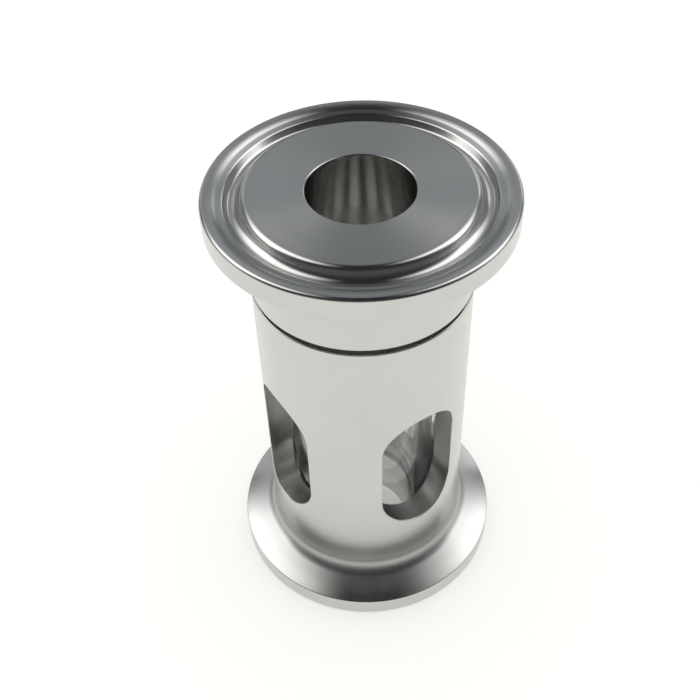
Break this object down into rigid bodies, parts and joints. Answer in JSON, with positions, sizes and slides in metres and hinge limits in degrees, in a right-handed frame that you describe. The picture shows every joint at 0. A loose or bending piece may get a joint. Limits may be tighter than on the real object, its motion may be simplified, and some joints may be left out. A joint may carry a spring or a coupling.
{
  "type": "sight glass",
  "caption": "In-line sanitary sight glass: steel tube with obround viewing windows around a glass tube, clamp ferrule at each end, screwed upper cap.",
  "frame": {"origin": "centre of the lower ferrule's raised sealing face, on the flow axis", "axes": "+Z along the flow axis towards the screwed cap; +X and +Y each point through the middle of a window"},
  "size_m": [0.0506, 0.0506, 0.085],
  "materials": {
    "stainless_housing": "fine-turned and polished stainless steel, soft mirror",
    "stainless_cap": "fine-turned and polished stainless steel, soft mirror",
    "glass": "clear borosilicate tube, fire-polished edges",
    "silicone": "moulded translucent white silicone",
    "ptfe": "turned white PTFE, waxy"
  },
  "bodies": {
    "housing": {"housing": "stainless_housing", "glass_tube": "glass", "lower_seal": "silicone", "upper_seal": "silicone"},
    "slip_washer": {"slip_washer": "ptfe"},
    "screw_cap": {"screw_cap_ferrule": "stainless_cap"}
  },
  "joints": [
    {"name": "cap_lift", "type": "slide", "parent": "housing", "child": "slip_washer", "axis": [0, 0, 1], "range_m": [0, 0.01]},
    {"name": "cap_screw", "type": "hinge", "parent": "slip_washer", "child": "screw_cap", "pos_m": [0, 0, 0.0575], "axis": [0, 0, 1], "range_deg": [0, 1800]}
  ],
  "couplings": [
    {"joint": "cap_lift", "follows": "cap_screw", "m_per_rad": 0.00031831}
  ]
}
